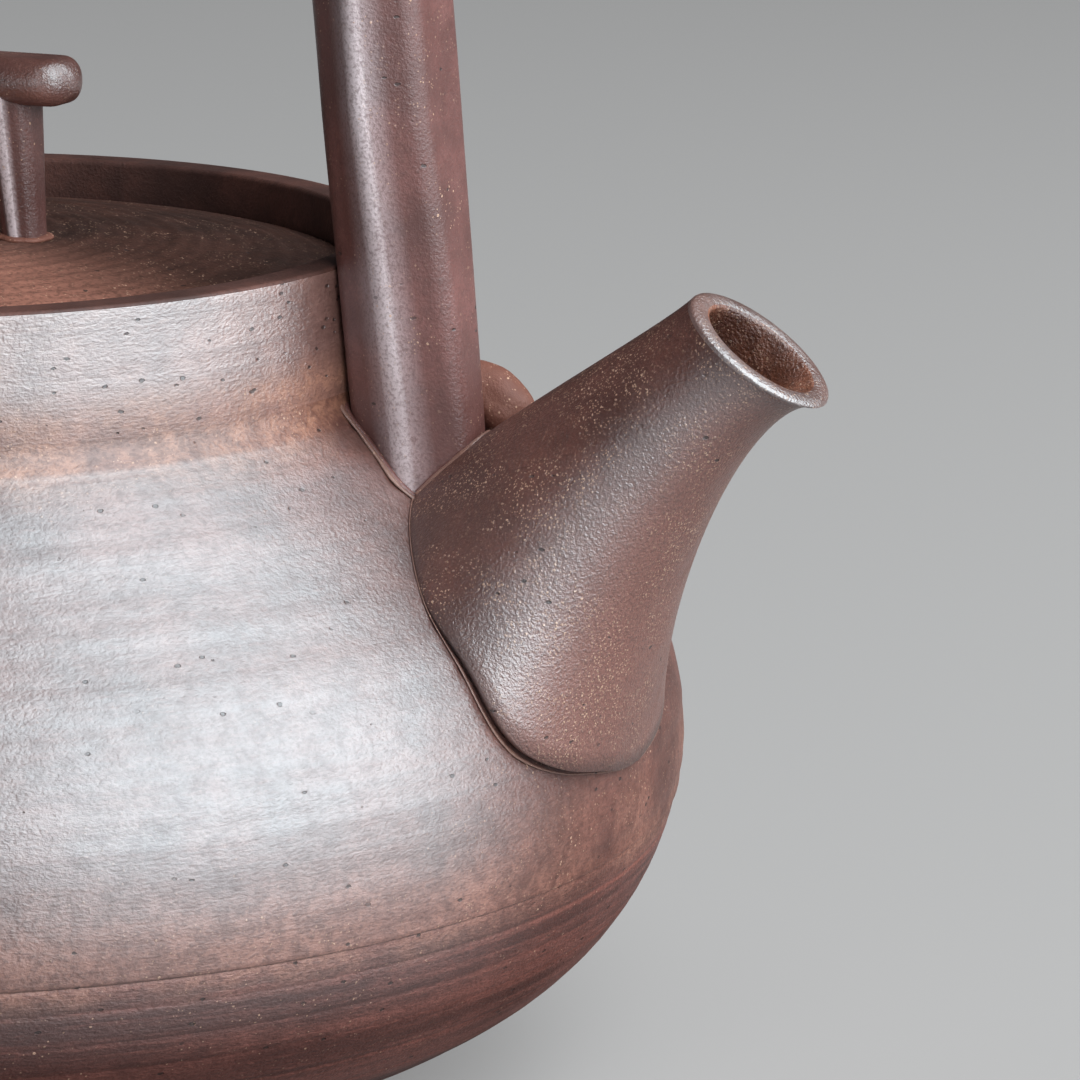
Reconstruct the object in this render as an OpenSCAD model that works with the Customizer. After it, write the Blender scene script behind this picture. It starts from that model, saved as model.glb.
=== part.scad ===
// Unglazed clay teapot with a fixed overhead handle and a lid that lifts out of its collar.
// Each solid is a piece that the potter makes by itself and joins to the others with slip.
// The origin is on the pot's axis where the foot ring stands, +Z is up and the spout points along +X.

/* [Body] */
// Greatest diameter of the belly
body_d = 144; // [142:0.5:146]
// Height of the rim above the table
rim_h = 80; // [79:0.5:82]
// Height of the belly's widest line
belly_h = 32.5; // [32:0.1:33]
// Radius of the belly's curve above the widest line
belly_upper_r = 25.4; // [25:0.1:26]
// Radius of the belly's curve below the widest line
belly_lower_r = 26.5; // [26:0.1:27]
// Slope of the shoulder, in degrees below level
shoulder_slope = 41.5; // [41:0.5:42]
// Thickness of the clay wall
wall = 4; // [3.6:0.1:4.4]
// Outer diameter of the collar at its foot
collar_d = 91.2; // [90.6:0.1:91.8]
// How much narrower the collar is at the rim, on the radius
collar_lean = 0.5; // [0:0.1:0.8]
// Radius of the hollow where the collar meets the shoulder
collar_fillet = 2.5; // [2:0.1:3]
// Outer diameter of the foot ring
foot_d = 84; // [80:1:88]
// Height of the foot ring
foot_h = 3.4; // [3:0.1:3.8]
// Width of the foot ring
foot_w = 5.5; // [4:0.5:7]
// Thickness of the base disc
base_t = 4.2; // [3.8:0.1:4.8]

/* [Lid] */
// Depth of the lid's edge below the rim
lid_drop = 3.8; // [3.4:0.1:4.4]
// Rise of the lid's crown above its edge
lid_crown = 4.2; // [3.6:0.1:4.8]
// Thickness of the lid
lid_t = 3.9; // [3.5:0.1:4.2]
// Gap round the lid
lid_gap = 0.6; // [0.4:0.1:0.8]
// Gap between the lid and the ledge it rests on
seat_gap = 0.3; // [0.2:0.05:0.4]
// Width of the ledge inside the collar
ledge_w = 4.4; // [4:0.1:5]
// Thickness of the ledge
ledge_t = 3.2; // [3:0.1:3.6]
// Depth of the flange under the lid
flange_h = 8; // [6:0.5:10]
// Thickness of the flange
flange_t = 3.4; // [3:0.1:4]
// Gap between the flange and the ledge
flange_gap = 0.5; // [0.4:0.1:0.8]
// Diameter of the steam hole
vent_d = 3.2; // [2.5:0.1:4]

/* [Knob] */
// Length of the knob's bar
knob_l = 35.4; // [34:0.2:37]
// Thickness of the knob's bar
knob_t = 4.4; // [4.2:0.1:4.8]
// Depth of the knob's bar, front to back
knob_w = 6.8; // [6.4:0.1:7.4]
// Height of the bar's top above the rim
knob_h = 16.8; // [16:0.2:19]
// Distance of the knob's legs from the axis at the rim's height
knob_leg_x = 11.8; // [11:0.1:12.4]

/* [Spout] */
// Distance of the mouth's middle from the pot's axis
mouth_x = 84.7; // [84:0.1:86]
// Depth of the mouth's middle below the rim
mouth_drop = 5; // [4.4:0.1:5.6]
// Length of the mouth along the pour
mouth_l = 14.9; // [14:0.1:16]
// Width of the mouth across the pour
mouth_w = 13.4; // [12.6:0.1:14.4]
// Slope of the mouth down towards the lip, in degrees
mouth_tilt = 37; // [35:1:39]
// Wall of the spout at the mouth
lip_t = 1.6; // [1.4:0.1:2]
// Wall of the spout at its root
root_t = 3.2; // [2.8:0.1:3.6]
// Width of the root compared with its length
root_spread = 1.26; // [1.2:0.01:1.3]
// How much narrower the root is above its middle than below it
root_egg = 0.32; // [0.24:0.01:0.4]
// Diameter of the hole in the wall behind the spout
strainer_d = 17; // [16:1:18]
// Diameter of the strainer's small holes
strainer_hole_d = 2.4; // [2:0.1:2.6]

/* [Handle] */
// Distance of the handle's legs from the axis at the rim's height
leg_x = 50.6; // [50.4:0.1:51.2]
// Inward lean of the legs, in degrees
leg_lean = 4.9; // [4.5:0.1:5.5]
// Height of the bar's underside above the rim
grip_clear = 78; // [74:1:86]
// Length of the handle's bar
grip_l = 116; // [112:1:120]
// Width of the handle across its ridges
grip_w = 14.8; // [14:0.2:16]
// Thickness of the handle between its flats
grip_t = 10.6; // [10:0.2:10.8]
// Width of the handle's flats
grip_flat = 8.4; // [8:0.2:9]
// Width across the ridges at the legs' feet
toe_w = 9; // [8.4:0.2:10]
// Thickness between the flats at the legs' feet
toe_t = 12; // [11.4:0.2:12.2]
// Width of the flats at the legs' feet
toe_flat = 4.4; // [4:0.2:5]
// Softness of the handle's ridges
ridge_soft = 1.7; // [1:0.1:1.9]

/* [Hidden] */
$fn = 96;
clay = [0.40, 0.27, 0.24];
dark_clay = [0.33, 0.23, 0.21];
red_clay = [0.44, 0.27, 0.22];
body_r = body_d / 2;
collar_r = collar_d / 2;
collar_in = collar_r - wall;
rim_r = collar_r - collar_lean;
foot_r = foot_d / 2;
// Middles of the belly's two curves
upper_c = [body_r - belly_upper_r, belly_h];
lower_c = [body_r - belly_lower_r, belly_h];
// The belly ends where the shoulder starts, and at the base disc
shoulder_a = 90 - shoulder_slope;
base_a = -78;
shoulder_edge = on_circle(upper_c, belly_upper_r, shoulder_a);
base_edge = on_circle(lower_c, belly_lower_r, base_a);
shoulder_run = shoulder_edge[0] - collar_r;
fillet_rise = collar_fillet * (1 - sin(shoulder_slope)) / cos(shoulder_slope);
collar_z = shoulder_edge[1] + shoulder_run * tan(shoulder_slope) + fillet_rise;
fillet_c = [collar_r + collar_fillet, collar_z];
// Rounding of the rim and of the foot ring
rim_soft = 0.8;
foot_soft = 1;
// The lid and its seat
lid_r = collar_in - lid_gap;
lid_edge_z = rim_h - lid_drop;
lid_under_z = lid_edge_z - lid_t;
ledge_z = lid_under_z - seat_gap;
flange_r = collar_in - ledge_w - flange_gap;
crown_r = (lid_r * lid_r + lid_crown * lid_crown) / (2 * lid_crown);
crown_c = [0, lid_edge_z + lid_crown - crown_r];
// The knob's bar and legs
knob_z = rim_h + knob_h - knob_t / 2;
knob_leg_w = 6.4;
knob_leg_t = 5.2;
knob_leg_flat = 3.8;
knob_leg_soft = 0.9;
knob_soft = 2.1;
// The spout's upper and lower outlines, each a curve with four guide points
mouth_c = [mouth_x, rim_h - mouth_drop];
mouth_dir = [-cos(mouth_tilt), sin(mouth_tilt)];
mouth_out = [sin(mouth_tilt), cos(mouth_tilt)];
spout_top = [[51.2, 58.6], [52.8, 63], [75.5, 76.2], mouth_c + mouth_dir * mouth_l / 2];
spout_low = [[70.6, 30], [75.3, 58], [85.6, 71.5], mouth_c - mouth_dir * mouth_l / 2];
spout_steps = 10;
spout_sides = 32;
lip_bulge = 0.5;
// The hole behind the spout is square to the wall
strainer_a = 44;
strainer_t = 2.6;
strainer_dome = 2;
strainer_p = on_circle(upper_c, belly_upper_r - wall, strainer_a);
strainer_r = strainer_d / 2;
strainer_ring_r = 5.4;
// The handle's bar
grip_z = rim_h + grip_clear + grip_t / 2;
toe_z = rim_h - 15;
neck_z = rim_h + 14;
root_z = rim_h - 26;

function on_circle(c, r, a) = c + r * [cos(a), sin(a)];
function arc(c, r, from, to, n = 14) = [for (i = [0:n]) on_circle(c, r, from + (to - from) * i / n)];
function bezier(p, t) =
    pow(1 - t, 3) * p[0] + 3 * pow(1 - t, 2) * t * p[1] + 3 * (1 - t) * t * t * p[2] + pow(t, 3) * p[3];
function mix(a, b, t) = a + (b - a) * t;

// A six-sided section with ridges at both ends of its width and flats across its thickness
function six_sided(w, t, flat) = [
    [t / 2, -flat / 2], [t / 2, flat / 2], [0, w / 2],
    [-t / 2, flat / 2], [-t / 2, -flat / 2], [0, -w / 2]
];
// Each corner of an outline becomes a short curve that starts and ends at a distance from the corner
function softened(outline, soft, n = 3) = [
    for (i = [0:len(outline) - 1])
        let (p = outline[i],
            before = outline[(i + len(outline) - 1) % len(outline)],
            after = outline[(i + 1) % len(outline)],
            a = p + (before - p) * soft / norm(before - p),
            b = p + (after - p) * soft / norm(after - p))
        for (k = [0:n]) mix(mix(a, p, k / n), mix(p, b, k / n), k / n)
];
// Side faces between neighbouring rings of equal counts
function band(a, b, count) = [
    for (i = [0:count - 1])
        let (j = (i + 1) % count)
        each [[a + i, b + i, b + j], [a + i, b + j, a + j]]
];

module revolve(outline) { rotate_extrude() polygon(outline); }

// A solid through rings of points, closed by its first and last ring
module loft(rings) {
    count = len(rings[0]);
    last = (len(rings) - 1) * count;
    polyhedron(
        [for (ring = rings) each ring],
        concat(
            [[for (i = [0:count - 1]) i]],
            [for (k = [0:len(rings) - 2]) each band(k * count, (k + 1) * count, count)],
            [[for (i = [count - 1:-1:0]) last + i]]
        )
    );
}

// A tube through rings of points, where the last ring joins the first one again
module tube(rings) {
    count = len(rings[0]);
    polyhedron(
        [for (ring = rings) each ring],
        [for (k = [0:len(rings) - 1]) each band(k * count, (k + 1) % len(rings) * count, count)]
    );
}

// Everything inside the pot's outer surface, for trimming what is joined to it
module pot_outside() {
    revolve(concat(
        [[0, foot_h], [foot_r, foot_h]],
        arc(lower_c, belly_lower_r, base_a, 0),
        arc(upper_c, belly_upper_r, 0, shoulder_a),
        arc(fillet_c, collar_fillet, 180 + shoulder_a, 180, 6),
        [[rim_r, rim_h], [0, rim_h]]
    ));
}

module strainer_place() {
    translate([strainer_p[0], 0, strainer_p[1]]) rotate([0, 90 - strainer_a, 0]) children();
}
module strainer_opening() {
    strainer_place() translate([0, 0, -wall]) cylinder(r = strainer_r, h = 3 * wall);
}

module foot_ring() {
    inner_r = foot_r - foot_w;
    color(red_clay) revolve(concat(
        arc([inner_r + foot_soft, foot_soft], foot_soft, 180, 270, 5),
        arc([foot_r - foot_soft, foot_soft], foot_soft, 270, 360, 5),
        [[foot_r, foot_h], [inner_r, foot_h]]
    ));
}

module base_disc() {
    base_in = on_circle(lower_c, belly_lower_r - wall, base_a);
    floor_z = foot_h + base_t;
    color(red_clay) revolve([
        [0, foot_h], [foot_r, foot_h], base_edge, base_in, [foot_r, floor_z], [0, floor_z]
    ]);
}

module belly_wall() {
    color(clay) difference() {
        revolve(concat(
            arc(lower_c, belly_lower_r, base_a, 0),
            arc(upper_c, belly_upper_r, 0, shoulder_a),
            arc(upper_c, belly_upper_r - wall, shoulder_a, 0),
            arc(lower_c, belly_lower_r - wall, 0, base_a)
        ));
        strainer_opening();
    }
}

module shoulder() {
    inner_edge = on_circle(upper_c, belly_upper_r - wall, shoulder_a);
    inner_z = inner_edge[1] + (inner_edge[0] - collar_in) * tan(shoulder_slope);
    color(clay) difference() {
        revolve(concat(
            [shoulder_edge],
            arc(fillet_c, collar_fillet, 180 + shoulder_a, 180, 6),
            [[collar_in, collar_z], [collar_in, inner_z], inner_edge]
        ));
        strainer_opening();
    }
}

module collar() {
    color(clay) revolve(concat(
        [[collar_in, collar_z], [collar_r, collar_z]],
        arc([rim_r - rim_soft, rim_h - rim_soft], rim_soft, 0, 90, 5),
        arc([collar_in + rim_soft, rim_h - rim_soft], rim_soft, 90, 180, 5)
    ));
}

module lid_ledge() {
    color(clay) translate([0, 0, ledge_z - ledge_t]) difference() {
        cylinder(r = collar_in, h = ledge_t);
        translate([0, 0, -1]) cylinder(r = collar_in - ledge_w, h = ledge_t + 2);
    }
}

// A small dished disc, pierced by a middle hole and a ring of holes, set in the wall behind the spout
module strainer() {
    dome_r = (strainer_r * strainer_r + strainer_dome * strainer_dome) / (2 * strainer_dome);
    dome_c = [0, strainer_dome - dome_r];
    rim_a = atan2(dome_r - strainer_dome, strainer_r);
    color(dark_clay) strainer_place() difference() {
        revolve(concat(
            arc(dome_c, dome_r, rim_a, 90, 8),
            [for (p = arc(dome_c, dome_r, 90, rim_a, 8)) p + [0, strainer_t]]
        ));
        for (i = [0:6])
            rotate([0, 0, i * 60]) translate([i < 6 ? strainer_ring_r : 0, 0, -1])
                cylinder(d = strainer_hole_d, h = strainer_t + strainer_dome + 2);
    }
}

// One ring of the spout, on the line between its two outlines and narrowed by an inset
function spout_ring(t, inset, push = 0) =
    let (top = bezier(spout_top, t), low = bezier(spout_low, t),
        middle = (top + low) / 2 + mouth_out * push,
        half = norm(top - low) / 2,
        dir = (top - low) / (2 * half),
        across = half * mix(root_spread, mouth_w / mouth_l, t))
    [for (i = [0:spout_sides - 1])
        let (a = 360 * i / spout_sides,
            p = middle + dir * (half - inset) * cos(a),
            egg = 1 - root_egg * (1 - t) * cos(a))
        [p[0], -(across * egg - inset) * sin(a), p[1]]];

module spout() {
    steps = [for (i = [0:spout_steps]) i / spout_steps];
    color(dark_clay) difference() {
        tube(concat(
            [for (t = steps) spout_ring(t, 0)],
            [spout_ring(1, lip_t / 2, lip_bulge)],
            [for (i = [spout_steps:-1:0]) spout_ring(steps[i], mix(root_t, lip_t, steps[i]))]
        ));
        pot_outside();
        handle_leg_blank();
    }
}

// The handle's leg before it is trimmed to the pot and the bar
function leg_ring(z, w, t, flat) = [
    for (p = softened(six_sided(w, t, flat), ridge_soft))
        [p[0] + leg_x - (z - rim_h) * tan(leg_lean), p[1], z]
];
module handle_leg_blank() {
    loft([
        leg_ring(root_z, toe_w, toe_t, toe_flat),
        leg_ring(toe_z, toe_w, toe_t, toe_flat),
        leg_ring(neck_z, grip_w, grip_t, grip_flat),
        leg_ring(grip_z, grip_w, grip_t, grip_flat)
    ]);
}
module handle_leg() {
    difference() {
        handle_leg_blank();
        pot_outside();
        grip_blank();
    }
}
module front_handle_leg() { color(clay) handle_leg(); }
module back_handle_leg() { color(clay) mirror([1, 0, 0]) handle_leg(); }

// A bar along X with a given section, whose ends are round seen from the front and from above
module round_ended_bar(length, thick, wide, section) {
    end_r = thick / 2;
    end_x = length / 2 - end_r;
    plan_x = length / 2 - wide / 2;
    intersection() {
        rotate([90, 0, 90]) linear_extrude(length, center = true) polygon(section);
        rotate([90, 0, 0]) linear_extrude(2 * wide, center = true)
            polygon(concat(arc([end_x, 0], end_r, -90, 90), arc([-end_x, 0], end_r, 90, 270)));
        linear_extrude(2 * thick, center = true)
            polygon(concat(arc([plan_x, 0], wide / 2, -90, 90), arc([-plan_x, 0], wide / 2, 90, 270)));
    }
}

module grip_blank() {
    section = [for (p = softened(six_sided(grip_w, grip_t, grip_flat), ridge_soft)) [p[1], -p[0]]];
    translate([0, 0, grip_z]) round_ended_bar(grip_l, grip_t, grip_w, section);
}
module handle_grip() { color(clay) grip_blank(); }

module lid_plate() {
    edge_a = atan2(lid_edge_z - crown_c[1], lid_r);
    vent_a = acos(vent_d / 2 / crown_r);
    recess_r = flange_r - flange_t;
    under_r = crown_r - lid_t;
    recess_a = acos(recess_r / under_r);
    color(red_clay) revolve(concat(
        [[lid_r, lid_under_z]],
        arc(crown_c, crown_r, edge_a, vent_a),
        arc(crown_c, under_r, acos(vent_d / 2 / under_r), recess_a),
        [[recess_r, lid_under_z]]
    ));
}

module lid_flange() {
    color(red_clay) translate([0, 0, lid_under_z - flange_h]) difference() {
        cylinder(r = flange_r, h = flange_h);
        translate([0, 0, -1]) cylinder(r = flange_r - flange_t, h = flange_h + 2);
    }
}

module knob_bar_blank() {
    y = knob_w / 2;
    z = knob_t / 2;
    section = softened([[y, -z], [y, z], [-y, z], [-y, -z]], knob_soft, 5);
    translate([0, 0, knob_z]) round_ended_bar(knob_l, knob_t, knob_w, section);
}
module knob_bar() { color(dark_clay) knob_bar_blank(); }

function knob_leg_ring(z) = [
    for (p = softened(six_sided(knob_leg_w, knob_leg_t, knob_leg_flat), knob_leg_soft))
        [p[0] + knob_leg_x - (z - rim_h) * tan(leg_lean), p[1], z]
];
module knob_leg() {
    difference() {
        loft([knob_leg_ring(rim_h - lid_t), knob_leg_ring(knob_z)]);
        knob_bar_blank();
        translate([0, 0, crown_c[1]]) sphere(r = crown_r);
    }
}
module front_knob_leg() { color(dark_clay) knob_leg(); }
module back_knob_leg() { color(dark_clay) mirror([1, 0, 0]) knob_leg(); }

foot_ring();
base_disc();
belly_wall();
shoulder();
collar();
lid_ledge();
strainer();
spout();
front_handle_leg();
back_handle_leg();
handle_grip();
lid_plate();
lid_flange();
front_knob_leg();
back_knob_leg();
knob_bar();
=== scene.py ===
# %% [markdown]
# # An unglazed teapot with an overhead handle
# The body, lid and foot of this pot are turned on a wheel. The spout, the handle and the knob are shaped
# by hand and joined on with wet clay. Each piece is made here by itself, as it is at the potter's bench,
# and then set in the frame of the solid model, which fixes every size. Lengths are in millimetres while
# a piece is made, because they are easy to read, and become metres when it is finished.

# %% Load the solid model as a fixed frame
from math import atan2, ceil, cos, degrees, exp, hypot, pi, radians, sin, sqrt, tan

import bmesh
import bpy
from mathutils import Matrix, Vector, noise


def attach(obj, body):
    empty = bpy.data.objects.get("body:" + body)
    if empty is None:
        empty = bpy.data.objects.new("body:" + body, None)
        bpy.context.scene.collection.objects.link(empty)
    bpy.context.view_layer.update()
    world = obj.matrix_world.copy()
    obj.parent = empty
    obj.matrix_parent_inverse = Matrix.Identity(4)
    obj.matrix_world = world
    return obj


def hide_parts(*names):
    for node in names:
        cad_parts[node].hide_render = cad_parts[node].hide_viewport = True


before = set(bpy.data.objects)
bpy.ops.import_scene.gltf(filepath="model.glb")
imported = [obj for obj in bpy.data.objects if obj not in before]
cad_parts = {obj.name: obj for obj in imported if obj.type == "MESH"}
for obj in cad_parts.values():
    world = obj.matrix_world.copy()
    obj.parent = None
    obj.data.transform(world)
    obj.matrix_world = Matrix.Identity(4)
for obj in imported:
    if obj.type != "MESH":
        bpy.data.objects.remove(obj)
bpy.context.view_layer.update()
scene = bpy.context.scene
MM = 0.001

# %% [markdown]
# ## The camera
# A long lens stands about half a metre away and looks a little down on the shoulder of the pot, with the
# spout turned towards it on the right. The picture is a close view that cuts off the left half of the
# pot, so the camera looks past the pot's middle. It comes first, because every finish is judged through
# it.

# %% Place the camera
VIEW_TURN = 24
VIEW_DOWN = 12.905
EYE = (0.2628, -0.4470, 0.16823)
lens = bpy.data.cameras.new("close_view")
lens.lens = 187.2
lens.sensor_width = 36
lens.clip_start = 0.01
eye = bpy.data.objects.new("close_view", lens)
eye.location = EYE
eye.rotation_euler = (radians(90 - VIEW_DOWN), 0, radians(VIEW_TURN))
scene.collection.objects.link(eye)
scene.camera = eye
print("field of view:", round(degrees(lens.angle), 2), "degrees")

# %% [markdown]
# ## Clay finishes
# The clay is a dark red-brown stoneware with sand in it, fired without glaze. Up close it has soft
# cloudy colour, pale and dark grains, tiny pits, and a satin gloss that the fire left on it. One recipe
# can give all of these: it mixes two clay colours by a soft noise, adds grains where random cells are
# small, and uses the same noises for bump and gloss. The recipe reads Object coordinates, so the grain
# keeps its real size on every piece.

# %% A small helper that adds and links shader nodes
class Recipe:
    """A finish in the making: adds nodes and links whatever it is given."""

    def __init__(self, name):
        self.material = bpy.data.materials.new(name)
        self.material.use_nodes = True
        self.tree = self.material.node_tree
        self.shader = self.tree.nodes["Principled BSDF"]
        self.place = self.node("TexCoord", {}, "Object")

    def put(self, socket, value):
        if isinstance(value, bpy.types.NodeSocket):
            self.tree.links.new(value, socket)
        elif socket.type == "RGBA":
            socket.default_value = (*value[:3], 1)
        else:
            socket.default_value = value

    def set(self, name, value):
        self.put(self.shader.inputs[name], value)

    def node(self, kind, inputs, output=0, **settings):
        made = self.tree.nodes.new("ShaderNode" + kind)
        for key, value in settings.items():
            setattr(made, key, value)
        for key, value in inputs.items():
            self.put(made.inputs[key], value)
        return made.outputs[output]

    def cloud(self, scale, detail=4, place=None):
        return self.node("TexNoise", {
            "Vector": place or self.place, "Scale": scale, "Detail": detail, "Roughness": 0.6})

    def stretch(self, across, up):
        return self.node("Mapping", {"Vector": self.place, "Scale": (across, across, up)})

    def ramp(self, value, start, end, low=0.0, high=1.0):
        return self.node("MapRange", {"Value": value, 1: start, 2: end, 3: low, 4: high},
                         interpolation_type="SMOOTHSTEP")

    def blend(self, share, one, two):
        return self.node("Mix", {0: share, 6: one, 7: two}, 2, data_type="RGBA")

    def sums(self, one, two, way="MULTIPLY"):
        return self.node("Math", {0: one, 1: two}, operation=way)

    def shaken(self, place, scale, reach):
        """The same coordinates pushed about by a fine noise, so that grains lose their round outline."""
        push = self.node("TexNoise", {"Vector": self.place, "Scale": scale, "Detail": 2}, "Color")
        centred = self.node("VectorMath", {0: push, 1: (0.5, 0.5, 0.5)}, operation="SUBTRACT")
        scaled = self.node("VectorMath", {0: centred, "Scale": reach}, operation="SCALE")
        return self.node("VectorMath", {0: place, 1: scaled}, operation="ADD")

    def spots(self, place, scale, share, size):
        """Grains: the middles of random cells, where only a share of the cells has one."""
        cells = self.node("TexVoronoi", {"Vector": place, "Scale": scale})
        chance = self.node("SeparateColor", {0: cells.node.outputs["Color"]})
        chosen = self.ramp(chance, 1 - share, 1 - share + 0.02)
        return self.sums(self.ramp(cells, size * 0.7, size, 1, 0), chosen)


# %% The clay recipe
SAND = (0.62, 0.40, 0.28)
PIT = (0.035, 0.02, 0.018)
COOL_SHEEN = (0.84, 0.95, 1.0)
CLAY_IOR, SHEEN_TURN, BUMP_DEPTH = 2.4, 0.25, 0.00025
# Scales are in cells for each metre. A pair is (across, up), for marks that run round the pot.
CLOUDS, PATCHES, MOTTLE, SATIN, CROWDING = 110, 75, 750, 320, 160
GRAIN, TURNED_GRAIN = 3400, (2300, 3800)
TURNED_LINES, TURNED_DASHES = (20, 1300), (650, 3000)
WIDE_BANDS, SHEEN_STREAKS = (14, 430), (11, 330)
SAND_CELLS, FINE_SAND_CELLS, PIT_CELLS = 2400, 4300, 1700
SHAKE_SCALE, SHAKE_REACH = 2600, 0.00022
PIT_STRETCH = (0.55, 0.55, 1)


def clay(name, dark, light, sand=0.1, pits=0.05, brushed=0.0, bands=0.0, gloss=0.42, uneven=0.07,
         shine=1.0, grain=0.5, turned_sheen=0.0, patches=(), painted_light_tone=None, skin=False, pores=0.0,
         streaks=0.0):
    """A sandy clay. Patches are (height, spread, colour, share) in millimetres; painted_light_tone is a
    colour that the piece's tone layer blends in: a painted highlight on ridges, a painted lit front on the
    lid, and a lighter underside on the spout. A clay with a skin shines as much as the piece's own skin
    layer says, and less in its pores, pits and streaks."""
    mix = Recipe(name)
    fine = mix.cloud(1, 2, mix.stretch(*TURNED_GRAIN)) if brushed else mix.cloud(GRAIN, 2)
    mottle = mix.cloud(MOTTLE, 3)
    colour = mix.blend(mix.ramp(mix.cloud(CLOUDS, 5), 0.3, 0.7), dark, light)
    colour = mix.blend(mix.ramp(mottle, 0.4, 0.72, 0, 0.5), colour, dark)
    patchy = mix.cloud(PATCHES, 5)
    if brushed:
        lines = mix.cloud(1, 3, mix.stretch(*TURNED_LINES))
        dashes = mix.cloud(1, 2, mix.stretch(*TURNED_DASHES))
        colour = mix.blend(mix.ramp(lines, 0.45, 0.72, 0, brushed), colour, dark)
        colour = mix.blend(mix.ramp(dashes, 0.5, 0.75, 0, brushed), colour, light)
    if bands:
        wide = mix.cloud(1, 3, mix.stretch(*WIDE_BANDS))
        colour = mix.blend(mix.ramp(wide, 0.42, 0.6, 0, bands), colour, light)
        colour = mix.blend(mix.ramp(wide, 0.5, 0.34, 0, bands), colour, dark)
    height = mix.node("SeparateXYZ", {0: mix.place}, 2)
    for level, spread, tint, share in patches:
        away = mix.sums(mix.sums(height, level * MM, "SUBTRACT"), 0, "ABSOLUTE")
        near = mix.ramp(away, 0, spread * MM, share, 0)
        broken = mix.sums(mix.ramp(patchy, 0.3, 0.58), mix.ramp(mottle, 0.38, 0.62, 1, 0.45))
        colour = mix.blend(mix.sums(near, broken), colour, tint)
    # The tone layer blends in painted light: a painted highlight along ridges, a painted lit front edge on
    # the lid, and a lighter underside on the spout, whose upper side is darker as painted shade.
    if painted_light_tone:
        tone = mix.node("Attribute", {}, "Fac", attribute_name="tone")
        colour = mix.blend(mix.sums(tone, mix.ramp(patchy, 0.2, 0.7, 0.6, 1)), colour, painted_light_tone)
    colour = mix.blend(mix.ramp(fine, 0.42, 0.7, 0, 0.5), colour, dark)
    loose = mix.shaken(mix.place, SHAKE_SCALE, SHAKE_REACH)
    thick = mix.ramp(mix.cloud(CROWDING, 2), 0.4, 0.62, 0.15, 1)
    layer = mix.node("Attribute", {}, "Fac", attribute_name="skin") if skin else None
    if skin and brushed:
        thick = mix.sums(thick, mix.ramp(layer, 0.4, 1, 1, 0.2))
    pale = mix.sums(mix.spots(loose, SAND_CELLS, sand, 0.32), thick)
    small = mix.sums(mix.spots(loose, FINE_SAND_CELLS, sand * 1.8, 0.38), thick)
    colour = mix.blend(mix.sums(pale, 0.8), colour, SAND)
    colour = mix.blend(mix.sums(small, 0.6), colour, SAND)
    flat = mix.node("VectorMath", {0: loose, 1: PIT_STRETCH}, operation="MULTIPLY")
    holes = mix.spots(flat, PIT_CELLS, pits, 0.32)
    colour = mix.blend(mix.sums(holes, 0.85), colour, PIT)
    mix.set("Base Color", colour)
    mix.set("Roughness", mix.ramp(mix.cloud(SATIN, 3), 0.25, 0.75, gloss - uneven, gloss + uneven))
    mix.set("IOR", CLAY_IOR)
    mix.set("Anisotropic", turned_sheen)
    mix.set("Anisotropic Rotation", SHEEN_TURN)
    mix.set("Specular IOR Level", shine)
    if skin:
        level = mix.sums(layer, mix.ramp(fine, 0.38, 0.66, 1, 1 - pores))
        level = mix.sums(level, mix.ramp(holes, 0, 1, 1, 0.65))
        if streaks:
            turned = mix.cloud(1, 4, mix.stretch(*SHEEN_STREAKS))
            level = mix.sums(level, mix.ramp(turned, 0.44, 0.66, 1, 1 - streaks))
            level = mix.sums(level, mix.ramp(mottle, 0.44, 0.66, 1, 1 - streaks * 0.7))
        mix.set("Specular IOR Level", level)
    mix.set("Specular Tint", COOL_SHEEN)
    marks = [(mottle, 0.2), (holes, -1.0), (pale, 0.25)]
    if brushed:
        marks += [(dashes, 0.35), (lines, brushed * 0.6)]
    relief = mix.sums(fine, 0.6)
    for mark, depth in marks:
        relief = mix.sums(relief, mix.sums(mark, depth), "ADD")
    mix.set("Normal", mix.node("Bump", {"Strength": grain, "Distance": BUMP_DEPTH, "Height": relief}))
    print("finish", name, "has", len(mix.tree.nodes), "nodes")
    return mix.material


# %% [markdown]
# Each part of the pot took the fire differently. The thrown body is purple-brown with warm ochre patches
# under the collar and low on the belly, where it shows horizontal turning streaks. The collar is given a
# lighter clay as a painted sheen, and the rim's top and inner wall a dark one as painted shade. The spout
# is darker, partly as painted shade on its upper side, the handle and knob are smoother and more purple,
# with a painted highlight along their ridges, and the lid is redder and darkened as painted shade, with a
# painted lit front edge.

# %% One finish for each part
OCHRE, LOW_OCHRE, CUT_OCHRE = (0.39, 0.19, 0.12), (0.36, 0.165, 0.12), (0.38, 0.185, 0.135)
# Painted highlight: a pale colour laid along the ridges of the handle and the knob.
PAINTED_RIDGE_HIGHLIGHT = (0.72, 0.63, 0.66)
BODY_DARK, BODY_LIGHT = (0.08, 0.029, 0.022), (0.19, 0.075, 0.057)
FOOT_DARK, FOOT_LIGHT = (0.07, 0.023, 0.018), (0.22, 0.08, 0.063)
body_clay = clay("body_clay", BODY_DARK, BODY_LIGHT, sand=0.07, pits=0.035, brushed=0.5, gloss=0.54,
                 uneven=0.02, grain=0.55, turned_sheen=0.7, skin=True, pores=0.1, streaks=0.16,
                 patches=((67.0, 4.5, OCHRE, 0.9), (30.0, 9.0, LOW_OCHRE, 0.8)))
trimmed_clay = clay("trimmed_clay", FOOT_DARK, FOOT_LIGHT, sand=0.03, brushed=0.8, bands=0.8, gloss=0.56,
                    uneven=0.02, grain=0.8, turned_sheen=0.7, skin=True, pores=0.15,
                    patches=((28.0, 4.0, CUT_OCHRE, 0.9),))
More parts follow.
